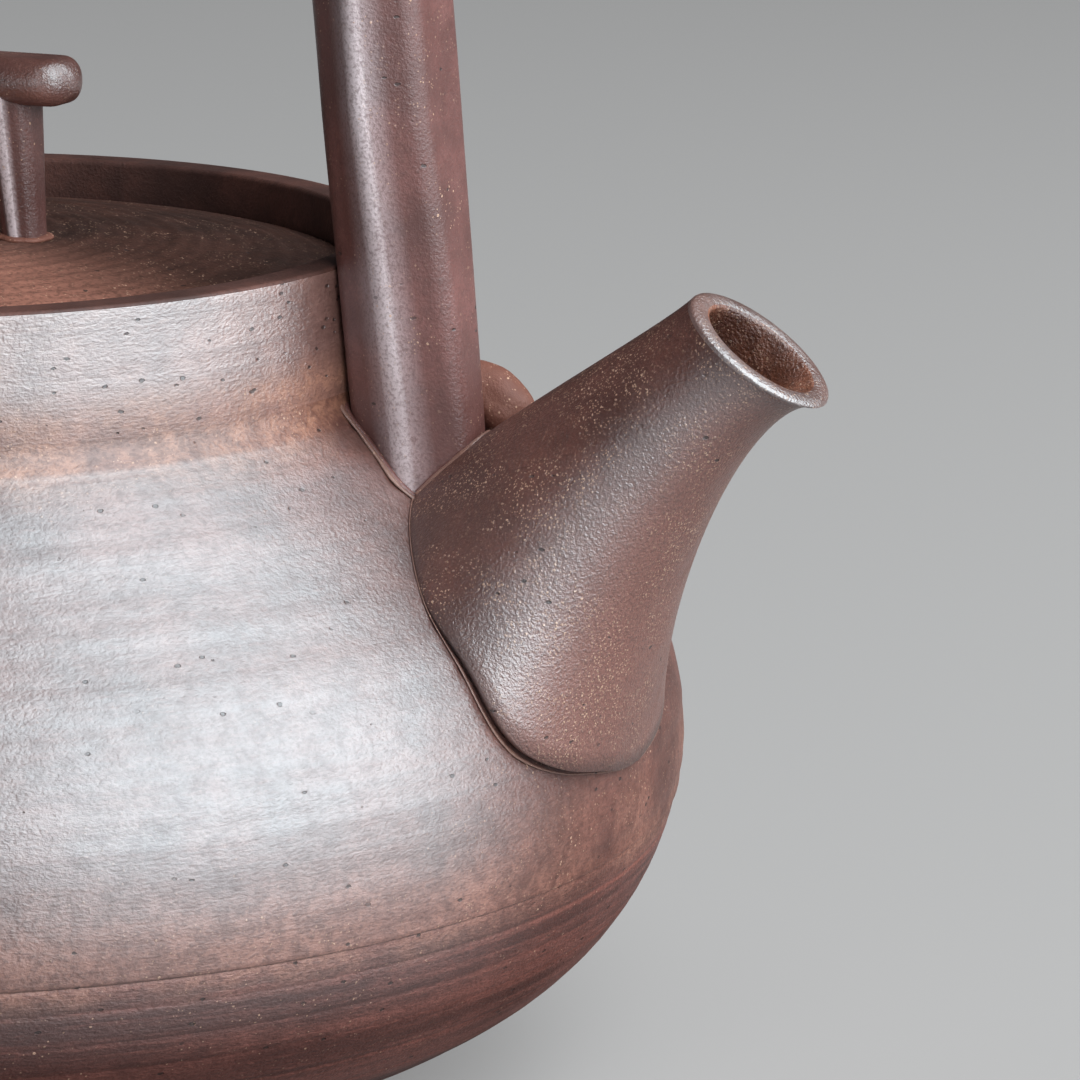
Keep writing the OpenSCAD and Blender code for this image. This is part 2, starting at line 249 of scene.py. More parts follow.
# Painted sheen: the collar's colours are lighter than the body's.
collar_clay_painted_sheen = clay("collar_clay_painted_sheen", (0.15, 0.073, 0.06), (0.33, 0.175, 0.145), pits=0.1, brushed=0.5,
                   gloss=0.5, uneven=0.03, grain=0.75, turned_sheen=0.8, skin=True, pores=0.08,
                   streaks=0.1, patches=((70.0, 3.6, OCHRE, 0.7),))
# Painted shade: a dark, dull clay for the rim's top and the collar's inner wall.
rim_clay_painted_shade = clay("rim_clay_painted_shade", (0.05, 0.02, 0.015), (0.12, 0.048, 0.036), sand=0.0, pits=0.01, gloss=0.65,
                shine=0.12)
foot_clay = clay("foot_clay", FOOT_DARK, FOOT_LIGHT, brushed=0.8, gloss=0.6, shine=0.12)
# The spout's colours are darker, partly as painted shade on its upper side; its tone colour is lighter,
# for the underside.
spout_clay = clay("spout_clay", (0.08, 0.03, 0.023), (0.15, 0.056, 0.042), sand=0.32, pits=0.03,
                  grain=0.9, skin=True, painted_light_tone=(0.225, 0.094, 0.073))
lip_clay = clay("lip_clay", (0.10, 0.045, 0.035), (0.21, 0.105, 0.085), sand=0.15, pits=0.0, gloss=0.38,
                shine=0.8, grain=0.9)
throat_clay = clay("throat_clay", (0.08, 0.026, 0.016), (0.36, 0.13, 0.066), sand=0.25, pits=0.02,
                   shine=0.3, grain=1.3)
handle_clay = clay("handle_clay", (0.11, 0.043, 0.037), (0.21, 0.086, 0.076), sand=0.06, pits=0.03,
                   shine=0.2, grain=0.45, painted_light_tone=PAINTED_RIDGE_HIGHLIGHT)
# Painted shade: the lid's colours are darkened; its tone colour is a painted lit front edge.
lid_clay = clay("lid_clay", (0.03, 0.0115, 0.0075), (0.078, 0.03, 0.02), sand=0.08, brushed=0.3, gloss=0.7,
                shine=0.08, painted_light_tone=(0.36, 0.16, 0.115))
knob_clay = clay("knob_clay", (0.085, 0.033, 0.028), (0.16, 0.066, 0.056), sand=0.04, pits=0.02,
                 shine=0.2, grain=0.45, painted_light_tone=PAINTED_RIDGE_HIGHLIGHT)
top_clay = clay("top_clay", (0.10, 0.038, 0.03), (0.22, 0.095, 0.075), sand=0.04, pits=0.02, gloss=0.36,
                shine=0.5, grain=0.6)
slip_clay = clay("slip_clay", (0.16, 0.075, 0.056), (0.30, 0.16, 0.12), gloss=0.5, shine=0.25)
dab_clay = clay("dab_clay", (0.16, 0.06, 0.041), (0.27, 0.118, 0.083), pits=0.0, gloss=0.6, shine=0.1)

# %% [markdown]
# ## Tools for turned and wrapped shapes
# A potter's wheel is bmesh.ops.spin: an outline of a few points turns round the pot's axis. A
# hand-shaped piece has different sections along its length, so a flat grid is wrapped through rings of
# points and its edges are merged. Both ways keep an even mesh, which the small throwing marks need
# later.

# %% Outlines
def on_circle(middle, radius, angle):
    return (middle[0] + radius * cos(radians(angle)), middle[1] + radius * sin(radians(angle)))


def arc(middle, radius, start, end, count):
    return [on_circle(middle, radius, start + (end - start) * i / count) for i in range(count + 1)]


def mixed(one, two, share):
    return one + (two - one) * share


def evenly(points, step):
    """The same line with points at an even distance."""
    lengths = [hypot(b[0] - a[0], b[1] - a[1]) for a, b in zip(points, points[1:])]
    count = ceil(sum(lengths) / step)
    spaced, part, walked = [points[0]], 0, 0.0
    for i in range(1, count):
        want = sum(lengths) * i / count
        while walked + lengths[part] < want:
            walked += lengths[part]
            part += 1
        share = (want - walked) / lengths[part]
        a, b = points[part], points[part + 1]
        spaced.append((mixed(a[0], b[0], share), mixed(a[1], b[1], share)))
    return spaced + [points[-1]]


# %% Turning, wrapping and finishing a piece
AROUND = 240
WELD = 0.001


def tidied(bm):
    bmesh.ops.remove_doubles(bm, verts=bm.verts[:], dist=WELD)
    bmesh.ops.holes_fill(bm, edges=[edge for edge in bm.edges if edge.is_boundary])
    bmesh.ops.recalc_face_normals(bm, faces=bm.faces[:])
    return bm


def turned(outline, closed=True):
    """Turns an outline of (radius, height) points once round the pot's axis."""
    bm = bmesh.new()
    points = [bm.verts.new((r, 0, z)) for r, z in outline]
    ends = points[1:] + points[:1] if closed else points[1:]
    edges = [bm.edges.new(pair) for pair in zip(points, ends)]
    bmesh.ops.spin(bm, geom=points + edges, cent=(0, 0, 0), axis=(0, 0, 1), angle=2 * pi, steps=AROUND,
                   use_merge=True)
    return tidied(bm)


def wrapped(rings, finish_rows=(), layers=None):
    """Wraps a flat grid through rings of points. At each of the finish rows the next finish starts. Layers
    are lists of one number for each column, which the mesh keeps under their names."""
    around, along = len(rings[0]), len(rings) - 1
    bm = bmesh.new()
    bmesh.ops.create_grid(bm, x_segments=around, y_segments=along, size=0.5)
    for face in bm.faces:
        row = (face.calc_center_median().y + 0.5) * along
        face.material_index = sum(row > start for start in finish_rows)
    kept = {bm.verts.layers.float.new(name): values for name, values in (layers or {}).items()}
    for vert in bm.verts:
        column = round((vert.co.x + 0.5) * around) % around
        row = round((vert.co.y + 0.5) * along)
        vert.co = rings[row][column]
        for layer, values in kept.items():
            vert[layer] = values[column]
    return tidied(bm)


def finished(bm, name, body, finishes, nodes=(), crease=38):
    """Makes the piece an object in metres that rides on its body and stands for its solids."""
    bmesh.ops.scale(bm, vec=(MM, MM, MM), verts=bm.verts[:])
    mesh = bpy.data.meshes.new(name)
    bm.to_mesh(mesh)
    bm.free()
    mesh.shade_smooth()
    mesh.set_sharp_from_angle(angle=radians(crease))
    for finish in finishes:
        mesh.materials.append(finish)
    piece = bpy.data.objects.new(name, mesh)
    scene.collection.objects.link(piece)
    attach(piece, body)
    if nodes:
        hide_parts(*nodes)
    print(name, "has", len(mesh.polygons), "faces")
    return piece


# %% [markdown]
# ## The thrown body
# The wall is one line from the base to the rim: a round belly, a straight sloping shoulder, a small
# hollow, and an upright collar. It could be one mesh, but the solid model has a belly, a shoulder and a
# collar, so each of them is its own piece with the same line. The distance to that line is used again
# for the throwing marks and the spout.

# %% The body's line, in millimetres
BODY_R, RIM_H, BELLY_H, WALL = 72.0, 80.0, 32.5, 4.0
UPPER_R, LOWER_R = 25.4, 26.5
SLOPE, BASE_ANGLE = 41.5, -78.0
COLLAR_R, RIM_R, HOLLOW_R = 45.6, 45.1, 2.5
UPPER = (BODY_R - UPPER_R, BELLY_H)
LOWER = (BODY_R - LOWER_R, BELLY_H)
TURN = 90 - SLOPE
SHOULDER_EDGE = on_circle(UPPER, UPPER_R, TURN)
HOLLOW_RISE = HOLLOW_R * (1 - sin(radians(SLOPE))) / cos(radians(SLOPE))
COLLAR_Z = SHOULDER_EDGE[1] + (SHOULDER_EDGE[0] - COLLAR_R) * tan(radians(SLOPE)) + HOLLOW_RISE
HOLLOW = (COLLAR_R + HOLLOW_R, COLLAR_Z)
COLLAR_IN = COLLAR_R - WALL


def off_pot(r, z):
    """Distance of a point from the pot's outer face; less than zero is inside the clay."""
    if z > COLLAR_Z:
        return r - mixed(COLLAR_R, RIM_R, (z - COLLAR_Z) / (RIM_H - COLLAR_Z))
    if z < BELLY_H:
        return hypot(r - LOWER[0], z - LOWER[1]) - LOWER_R
    angle = degrees(atan2(z - UPPER[1], r - UPPER[0]))
    if angle < TURN:
        return hypot(r - UPPER[0], z - UPPER[1]) - UPPER_R
    around_hollow = degrees(atan2(z - HOLLOW[1], r - HOLLOW[0])) % 360
    if 180 <= around_hollow <= 180 + TURN:
        return HOLLOW_R - hypot(r - HOLLOW[0], z - HOLLOW[1])
    return (r - UPPER[0]) * cos(radians(TURN)) + (z - UPPER[1]) * sin(radians(TURN)) - UPPER_R


def way_out(r, z):
    """The direction that leaves the pot's outer face, as (outwards, upwards)."""
    nudge = 0.02
    out = off_pot(r + nudge, z) - off_pot(r - nudge, z)
    up = off_pot(r, z + nudge) - off_pot(r, z - nudge)
    size = hypot(out, up)
    return out / size, up / size


print("shoulder from", round(SHOULDER_EDGE[1], 2), "mm, collar from", round(COLLAR_Z, 2), "mm")

# %% [markdown]
# Throwing leaves low rings on the clay and a few single lines. Below the belly's widest line a trimming
# tool has cut flat bands, one under the other, with a crisp edge between them. All marks are pressed
# into the mesh, and only inwards, so the pot keeps its size. A slow wobble makes the circle a little
# uneven, as hands do. All three pieces of the wall take the same marks, so they meet without a step.

# %% Throwing marks
RINGS = ((1.9, 0.018, 0.4), (3.1, 0.03, 1.7), (4.9, 0.035, 2.9), (8.3, 0.04, 0.9))
LINES = ((65.9, 0.3, 0.14), (61.4, 0.5, 0.08), (51.6, 0.5, 0.08), (48.1, 0.5, 0.10), (45.2, 0.5, 0.06),
         (39.9, 0.5, 0.06))
CUTS = (27.6, 25.1, 21.8, 18.9, 15.4, 12.2, 9.6)
WOBBLE = 0.14
STEP, GROOVE, GROOVE_W = 0.2, 0.16, 0.26
CUT_ROWS = (-0.55, -0.36, -0.2, -0.1, 0, 0.1, 0.2, 0.36, 0.55)


def settled(value, start, end):
    share = min(max((value - start) / (end - start), 0), 1)
    return share * share * (3 - 2 * share)


def cut_depth(angle, z):
    """Depth of the trimmed bands: each runs straight from one cut to the next, where the wall itself is
    round. The tool's corner left a groove at each cut, deep in one place and faint in another."""
    depth = STEP * settled(z, CUTS[0] + 0.1, CUTS[0] - 0.1)
    for top, low in zip(CUTS, CUTS[1:]):
        if low < z < top:
            depth += (top - z) * (z - low) / (2 * LOWER_R)
    for i, cut in enumerate(CUTS):
        uneven = 0.6 + 0.6 * noise.noise(Vector((cos(angle) * 1.6, sin(angle) * 1.6, i * 3.7)))
        depth += GROOVE * max(uneven, 0.15) * exp(-((z - cut) / GROOVE_W) ** 2)
    return depth


def ring_depth(angle, z):
    """Depth of the throwing rings, which come and go round the pot, and of the single lines."""
    ring = Vector((cos(angle), sin(angle), 0))
    drift = noise.noise(ring * 1.3 + Vector((0, 0, z * 0.02)))
    strength = 0.55 + 0.6 * noise.noise(ring * 1.1 + Vector((4, 7, z * 0.06)))
    depth = 0
    for length, size, start in RINGS:
        depth += size * max(strength, 0.1) * (1 + sin(2 * pi * z / length + start + 1.5 * drift))
    for level, width, size in LINES:
        depth += size * exp(-((z + 0.35 * drift - level) / width) ** 2)
    return depth


def pressed(angle, z):
    """Depth of all marks at a place on the wall."""
    ring = Vector((cos(angle), sin(angle), 0))
    depth = WOBBLE * (0.5 + 0.5 * noise.noise(ring * 0.9 + Vector((0, 0, z * 0.025))))
    depth += cut_depth(angle, z) + ring_depth(angle, z) * settled(z, CUTS[0] - 0.5, CUTS[0] + 1.5)
    return depth * settled(z, 6.8, 9.5) * settled(z, RIM_H - 0.3, RIM_H - 2.5)


def marked(bm):
    """Presses the throwing marks into the outer face of a piece of the wall."""
    for vert in bm.verts:
        r, z = hypot(vert.co.x, vert.co.y), vert.co.z
        if abs(off_pot(r, z)) > 0.03:
            continue
        angle = atan2(vert.co.y, vert.co.x)
        depth = pressed(angle, z)
        out, up = way_out(r, z)
        vert.co = ((r - out * depth) * cos(angle), (r - out * depth) * sin(angle), z - up * depth)
    bmesh.ops.recalc_face_normals(bm, faces=bm.faces[:])
    return bm


# %% [markdown]
# The fire did not reach all of the wall alike. It left a skin with a sheen on most of it. The hollow
# under the collar has less of it, the side under the spout too, and low on the belly it fades until the
# trimmed bands have almost none. The mesh carries this as a layer, and the finish takes its shine from
# it.

# %% Belly, shoulder and collar
ROW = 0.55
SKIN_FOOT, SKIN_CUT, SKIN_HOLLOW, SKIN_FLANK = 0.05, 0.28, 0.45, 0.28


def skin_at(angle, z):
    """How much of the skin is left at a place on the wall, from an angle in degrees and a height."""
    low = mixed(mixed(SKIN_FOOT, SKIN_CUT, settled(z, 18, 26)), 1, settled(z, 25, 41))
    under_collar = (settled(z, 60, 65) + 2 * settled(z, 65.7, 66.1)) / 3 * settled(z, 73.5, 69.5)
    flank = settled(angle, -24, -6) * settled(angle, 90, 60)
    flank *= max(settled(z, 52, 40), settled(angle, -6, 6))
    return low * mixed(1, SKIN_HOLLOW, under_collar) * mixed(1, SKIN_FLANK, flank)


def fired(bm):
    """Notes the skin on each vertex."""
    skin = bm.verts.layers.float.new("skin")
    for vert in bm.verts:
        vert[skin] = skin_at(degrees(atan2(vert.co.y, vert.co.x)), vert.co.z)
    return bm


def low_point(z):
    return (LOWER[0] + sqrt(LOWER_R ** 2 - (z - BELLY_H) ** 2), z)


def trimmed_rows():
    """Outline points of the trimmed bands, from below, with close rows at each cut for a crisp groove."""
    base_z = on_circle(LOWER, LOWER_R, BASE_ANGLE)[1]
    heights, low = [base_z], base_z
    for cut in CUTS[::-1]:
        top = cut + CUT_ROWS[0]
        count = ceil((top - low) / ROW)
        heights += [mixed(low, top, k / count) for k in range(1, count)]
        heights += [cut + row for row in CUT_ROWS]
        low = cut + CUT_ROWS[-1]
    return [low_point(z) for z in heights]


first_z = CUTS[0] + CUT_ROWS[-1]
widest_from = degrees(atan2(first_z - BELLY_H, low_point(first_z)[0] - LOWER[0]))
round_part = arc(LOWER, LOWER_R, widest_from, 0, 20) + arc(UPPER, UPPER_R, 0, TURN, 40)[1:]
belly_out = trimmed_rows() + evenly(round_part, ROW)[1:]
belly_in = arc(UPPER, UPPER_R - WALL, TURN, 0, 16) + arc(LOWER, LOWER_R - WALL, 0, BASE_ANGLE, 24)[1:]
belly_mesh = fired(marked(turned(belly_out + belly_in)))
for face in belly_mesh.faces:
    face.material_index = 1 if face.calc_center_median().z < CUTS[0] else 0
belly_finishes = [body_clay, trimmed_clay]
belly = finished(belly_mesh, "thrown_belly", "pot", belly_finishes, ["belly_wall"])

inner_edge = on_circle(UPPER, UPPER_R - WALL, TURN)
inner_z = inner_edge[1] + (inner_edge[0] - COLLAR_IN) * tan(radians(SLOPE))
slope_out = [SHOULDER_EDGE] + arc(HOLLOW, HOLLOW_R, 180 + TURN, 180, 14)
slope_in = [(COLLAR_IN, COLLAR_Z), (COLLAR_IN, inner_z), inner_edge]
shoulder_mesh = fired(marked(turned(evenly(slope_out, ROW) + slope_in)))
shoulder = finished(shoulder_mesh, "thrown_shoulder", "pot", [body_clay], ["shoulder"])

RIM_EDGE, RIM_INNER = 0.4, 0.5
collar_out = [(COLLAR_R, COLLAR_Z), (RIM_R, RIM_H - RIM_EDGE)]
rim = arc((RIM_R - RIM_EDGE, RIM_H - RIM_EDGE), RIM_EDGE, 15, 90, 4)
rim += arc((COLLAR_IN + RIM_INNER, RIM_H - RIM_INNER), RIM_INNER, 90, 180, 6)
collar_mesh = fired(marked(turned(evenly(collar_out, ROW) + rim + [(COLLAR_IN, COLLAR_Z)])))
# The rim's top and the collar's inner wall take the dark clay, as painted shade.
for face in collar_mesh.faces:
    middle = face.calc_center_median()
    faces_in = middle.x * face.normal.x + middle.y * face.normal.y < 0
    face.material_index = 1 if faces_in or face.normal.z > 0.4 else 0
finished(collar_mesh, "thrown_collar", "pot", [collar_clay_painted_sheen, rim_clay_painted_shade], ["collar"])

# %% [markdown]
# Behind the spout the wall has a round hole, where the strainer sits. A cylinder cuts it out of the
# belly and the shoulder. The cut is applied at once, so no helper object stays in the scene.

# %% The hole behind the spout
STRAINER_ANGLE, STRAINER_R = 44, 8.5


def pierced(pieces, middle, lean, radius, depth):
    bm = bmesh.new()
    bmesh.ops.create_cone(bm, cap_ends=True, segments=64, radius1=radius, radius2=radius, depth=depth)
    bmesh.ops.rotate(bm, cent=(0, 0, 0), verts=bm.verts[:],
                     matrix=Vector((0, 0, 1)).rotation_difference(Vector(lean)).to_matrix())
    bmesh.ops.translate(bm, vec=middle, verts=bm.verts[:])
    bmesh.ops.scale(bm, vec=(MM, MM, MM), verts=bm.verts[:])
    mesh = bpy.data.meshes.new("drill")
    bm.to_mesh(mesh)
    bm.free()
    drill = bpy.data.objects.new("drill", mesh)
    scene.collection.objects.link(drill)
    for piece in pieces:
        cut = piece.modifiers.new("cut", "BOOLEAN")
        cut.object = drill
        cut.solver = "EXACT"
        seen = piece.evaluated_get(bpy.context.evaluated_depsgraph_get())
        piece.data = bpy.data.meshes.new_from_object(seen)
        piece.modifiers.clear()
        print(piece.name, "is pierced and has", len(piece.data.polygons), "faces")
    bpy.data.objects.remove(drill)


strainer_spot = on_circle(UPPER, UPPER_R - WALL / 2, STRAINER_ANGLE)
strainer_lean = (cos(radians(STRAINER_ANGLE)), 0, sin(radians(STRAINER_ANGLE)))
pierced([belly, shoulder], (strainer_spot[0], 0, strainer_spot[1]), strainer_lean, STRAINER_R, 3 * WALL)

# %% [markdown]
# ## Base, foot ring and ledge
# Below the belly a turned base closes the pot and a low ring carries it. Inside the collar a narrow
# ledge holds the lid. All three are short outlines on the wheel. The ring and the ledge have soft edges,
# where a wet sponge has passed.

# %% Base, foot ring and ledge
FOOT_R, FOOT_H, FOOT_W, FLOOR_Z = 42.0, 3.4, 5.5, 7.6
base_edge = on_circle(LOWER, LOWER_R, BASE_ANGLE)
base_in = on_circle(LOWER, LOWER_R - WALL, BASE_ANGLE)
base_line = [(0, FOOT_H), (FOOT_R, FOOT_H), base_edge, base_in, (FOOT_R, FLOOR_Z), (0, FLOOR_Z)]
finished(turned(base_line, closed=False), "turned_base", "pot", [foot_clay], ["base_disc"])

foot_line = arc((FOOT_R - FOOT_W + 1, 1), 1, 180, 270, 6) + arc((FOOT_R - 1, 1), 1, 270, 360, 6)
foot_line += [(FOOT_R, FOOT_H), (FOOT_R - FOOT_W, FOOT_H)]
finished(turned(foot_line), "turned_foot", "pot", [foot_clay], ["foot_ring"])

LEDGE_Z, LEDGE_T, LEDGE_R = 72.0, 3.2, 37.2
ledge_line = arc((LEDGE_R + 0.6, LEDGE_Z - 0.6), 0.6, 180, 90, 5) + [(COLLAR_IN, LEDGE_Z)]
ledge_line += [(COLLAR_IN, LEDGE_Z - LEDGE_T), (LEDGE_R, LEDGE_Z - LEDGE_T)]
finished(turned(ledge_line), "seat_ledge", "pot", [foot_clay], ["lid_ledge"])

# %% [markdown]
# ## The spout
# The spout is a short tapered tube: its upper and lower outlines are different curves, and its mouth is
# cut on a slant, with a lip that turns out. Rings between the two curves give the skin. Each line along
# the spout is cut short where it meets the pot, by halving the step until the distance to the wall is
# right, so the root follows the wall exactly. The root's edge is rounded under, as a hand-pressed join
# is, and spreads a little on the wall below.

# %% The spout's two outlines and its rings
MOUTH, MOUTH_TILT, MOUTH_L, MOUTH_W = Vector((84.7, 75)), radians(37), 14.9, 13.4
MOUTH_WAY = Vector((-cos(MOUTH_TILT), sin(MOUTH_TILT)))
MOUTH_OUT = Vector((sin(MOUTH_TILT), cos(MOUTH_TILT)))
TOP_GUIDES, LOW_GUIDES = ((51.2, 58.6), (52.8, 63), (75.5, 76.2)), ((70.6, 30), (75.3, 58), (85.6, 71.5))
SPOUT_TOP = [Vector(guide) for guide in TOP_GUIDES] + [MOUTH + MOUTH_WAY * MOUTH_L / 2]
SPOUT_LOW = [Vector(guide) for guide in LOW_GUIDES] + [MOUTH - MOUTH_WAY * MOUTH_L / 2]
ROOT_SPREAD, ROOT_EGG, ROOT_T, LIP_T, LIP_BULGE = 1.26, 0.32, 3.2, 2.0, 0.4
ROOT_END, ROOT_HALVINGS = 0.8, 30


def along_curve(guides, t):
    a, b, c, d = guides
    return a * (1 - t) ** 3 + b * 3 * t * (1 - t) ** 2 + c * 3 * t * t * (1 - t) + d * t ** 3


def on_spout(t, angle, inset=0.0, push=0.0):
    """A point of the spout: t runs from root to mouth, the angle from the top round the near side."""
    top, low = along_curve(SPOUT_TOP, t), along_curve(SPOUT_LOW, t)
    half = (top - low).length / 2
    across = half * mixed(ROOT_SPREAD, MOUTH_W / MOUTH_L, t) * (1 - ROOT_EGG * (1 - t) * cos(angle))
    spot = (top + low) / 2 + (top - low).normalized() * (half - inset) * cos(angle) + MOUTH_OUT * push
    return Vector((spot.x, -(across - inset) * sin(angle), spot.y))


def height_over_pot(point):
    return off_pot(hypot(point.x, point.y), point.z)


def halved(low, high, is_low, times):
    """The value at which a test changes, found by halving."""
    for _ in range(times):
        middle = (low + high) / 2
        if is_low(middle):
            low = middle
        else:
            high = middle
    return middle


def where_it_meets(angle, level, inner=False):
    """The t at which a line along the spout's outer or inner face is at a height over the pot's face."""
    def is_below(t):
        thick = mixed(ROOT_T, LIP_T, t) if inner else 0
        return height_over_pot(on_spout(t, angle, thick)) < level

    return halved(0.0, ROOT_END, is_below, ROOT_HALVINGS)


def out_of_pot(point):
    """The direction that leaves the pot's face at a point."""
    r = hypot(point.x, point.y)
    out, up = way_out(r, point.z)
    return Vector((out * point.x / r, out * point.y / r, up))


# %% The spout's skin
SPOUT_SIDES, SPOUT_ROWS = 144, 44
SUNK, MELT, MELT_SHARE = 1.1, 2.0, 0.2
angles = [2 * pi * i / SPOUT_SIDES for i in range(SPOUT_SIDES)]


def smoothed(angle):
    """How far the far side of the root was smoothed over, from 0 to 1."""
    return settled(angle, 2.8, 3.5) * settled(angle, 5.8, 5.2)


def root_height(angle):
    """How far the root's rounded edge stands over the wall: most on the near side below, where it leaves a
    crevice, and hardly at all on the far side."""
    return mixed(0.12 + 1.0 * settled(-cos(angle + 0.75), 0.35, 1.0), 0.03, smoothed(angle))


def melted(angle):
    """How far the root spreads on the wall below."""
    near, far = settled(angle, 1.7, 2.4), settled(angle, 5.6, 4.9)
    return MELT * near * far * mixed(1, 0.3, settled(angle, 2.7, 3.5))


def spout_skin(angle):
    """How much of the fire's skin the spout has: most along the lower near side."""
    return 0.2 + 0.42 * exp(-((angle - 1.95) / 0.5) ** 2)


def spout_lit_underside(angle):
    """How much lighter its clay is: most underneath. The darker clay elsewhere is partly painted shade."""
    return settled(angle, 1.5, 2.5) * settled(angle, 5.0, 4.2)


edges_at = []
for angle in angles:
    rise = root_height(angle)
    t = where_it_meets(angle, rise)
    point = on_spout(t, angle)
    out = out_of_pot(point)
    heart = (on_spout(t, 0) + on_spout(t, pi)) / 2 - point
    inward = (heart - out * heart.dot(out)).normalized()
    point = point - inward * melted(angle)
    point -= out * (height_over_pot(point) - rise)
    edges_at.append((t, point, out, inward, rise))

rings = []
for drop, tuck in ((1, 0.95), (0.95, 0.6), (0.62, 0.24), (0.27, 0.05)):
    sink = SUNK if drop == 1 else 0
    ring = []
    for t, point, out, inward, rise in edges_at:
        ring.append(point - out * (rise * drop + sink) + inward * rise * tuck)
    rings.append(ring)
rings.append([point for t, point, out, inward, rise in edges_at])
for row in range(1, SPOUT_ROWS + 1):
    spread = max(0, 1 - row / SPOUT_ROWS / MELT_SHARE) ** 2
    ring = []
    for a, (t, point, out, inward, rise) in zip(angles, edges_at):
        ring.append(on_spout(mixed(t, 1, row / SPOUT_ROWS), a) - inward * melted(a) * spread)
    rings.append(ring)
lip_row = len(rings) - 2
LIP_ROWS = 8
for row in range(1, LIP_ROWS + 1):
    bend = pi * row / LIP_ROWS
    inset, push = LIP_T / 2 * (1 - cos(bend)), LIP_BULGE * sin(bend)
    rings.append([on_spout(1, a, inset, push) for a in angles])
inner_row = len(rings) - 3
THROAT_ROWS = 24
for row in range(1, THROAT_ROWS + 1):
    ring = []
    for a in angles:
        t = mixed(1, where_it_meets(a, -SUNK, inner=True), row / THROAT_ROWS)
        spot = on_spout(t, a, mixed(ROOT_T, LIP_T, t))
        uneven = 0.22 * noise.noise(spot * 0.9) * settled(row, 0, 3)
        ring.append(spot + uneven * Vector((0, spot.y, 0)).normalized())
    rings.append(ring)
rings.append(rings[0])
spout_layers = {"skin": [spout_skin(a) for a in angles], "tone": [spout_lit_underside(a) for a in angles]}
spout_mesh = wrapped(rings, (lip_row, inner_row), spout_layers)
spout_finishes = [spout_clay, lip_clay, throat_clay]
finished(spout_mesh, "pulled_spout", "pot", spout_finishes, ["spout"], crease=85)

# %% [markdown]
# Round the root a thin line of slip, the wet clay that glues the spout on, was pressed out and left a
# pale edge. It is a low bead that follows the root on the wall. The handle's feet and the knob's feet
# get the same bead later, so the bead is a function: a ring of small circles along a closed path, half
# sunk in the clay below.

# %% A bead of slip along a closed path
BEAD_SIDES = 10


def bead(path, ups, widths, closed=True):
    """A low rounded bead on a surface. Ups are the directions away from the surface."""
    count = len(path)
    rings = []
    for i in list(range(count)) + ([0] if closed else []):
        after = path[(i + 1) % count] if closed else path[min(i + 1, count - 1)]
        before = path[i - 1] if closed else path[max(i - 1, 0)]
        forward = (after - before).normalized()
        side = forward.cross(ups[i]).normalized()
        ring = []
        for k in range(BEAD_SIDES):
            a = 2 * pi * k / BEAD_SIDES
            ring.append(path[i] + (side * cos(a) + ups[i] * (0.5 * sin(a) - 0.1)) * widths[i])
        rings.append(ring)
    return wrapped(rings)


path, ups, widths = [], [], []
for angle, (t, point, out, inward, rise) in zip(angles, edges_at):
    foot = point - out * height_over_pot(point)
    path.append(foot - inward * 0.06)
    ups.append(out)
    pressed_out = 0.05 + 0.17 * exp(-((angle - 2.1) / 0.5) ** 2)
    uneven = 1 + 0.4 * noise.noise(point * 0.25) + 0.3 * noise.noise(point * 0.9)
    widths.append(pressed_out * uneven)
finished(bead(path, ups, widths), "spout_slip", "pot", [slip_clay], crease=80)

# %% [markdown]
# ## The handle
# Two legs rise from the shoulder, lean inwards and carry a bar. Their section has six sides: a ridge on
# each broad side and a flat towards the pot and away from it. The carved faces are slightly hollow, so
# each ridge catches a line of light, and a painted highlight along each ridge adds to that line. Rings of
# that section, wider above than at the foot, give the leg; the foot is cut where it meets the shoulder.

# %% The six-sided section
RIDGE_SOFT, EDGE_SOFT, HOLLOW_DEPTH = 0.8, 1.5, 0.1
CORNER_POINTS, FACE_POINTS = 6, 8


def six_sided(wide, thick, flat, size=1.0):
    """Points of the section as (away from the pot, sideways), with soft corners and hollow faces, and
    tones for a painted highlight along the ridges.
    """
    corners = [Vector(p) for p in (
        (thick / 2, -flat / 2), (thick / 2, flat / 2), (0, wide / 2),
        (-thick / 2, flat / 2), (-thick / 2, -flat / 2), (0, -wide / 2))]
    # The tones paint a highlight on each ridge and fade it over the hollow face beside it.
    points, highlight_tones = [], []
    for i, corner in enumerate(corners):
        before, after = corners[i - 1], corners[(i + 1) % 6]
        ridge = abs(corner.x) < 0.001
        soft = (RIDGE_SOFT if ridge else EDGE_SOFT) * size
        start = corner + (before - corner).normalized() * soft
        end = corner + (after - corner).normalized() * soft
        for k in range(CORNER_POINTS + 1):
            share = k / CORNER_POINTS
            points.append(start.lerp(corner, share).lerp(corner.lerp(end, share), share))
            highlight_tones.append(1.0 if ridge else 0.0)
        next_ridge = abs(after.x) < 0.001
        far = after + (corner - after).normalized() * (RIDGE_SOFT if next_ridge else EDGE_SOFT) * size
        inward = Vector((-(far - end).y, (far - end).x)).normalized()
        hollow = 0 if not (ridge or next_ridge) else HOLLOW_DEPTH * size
        for k in range(1, FACE_POINTS):
            share = k / FACE_POINTS
            points.append(end.lerp(far, share) + inward * hollow * 4 * share * (1 - share))
            from_ridge = share if ridge else 1 - share
            highlight_tones.append(max(0.0, 1 - 1.7 * from_ridge) * 0.55 if hollow else 0.0)
    return points, highlight_tones


# %% The handle's legs
LEG_X, LEAN = 50.6, tan(radians(4.9))
TOE, GRIP = (9.0, 12.0, 4.4), (14.8, 10.6, 8.4)
TOE_Z, NECK_Z, GRIP_Z, GRIP_T = 65.0, 94.0, 163.3, 10.6
LEG_ROWS = 60


SIDES = ((1, "front"), (-1, "back"))


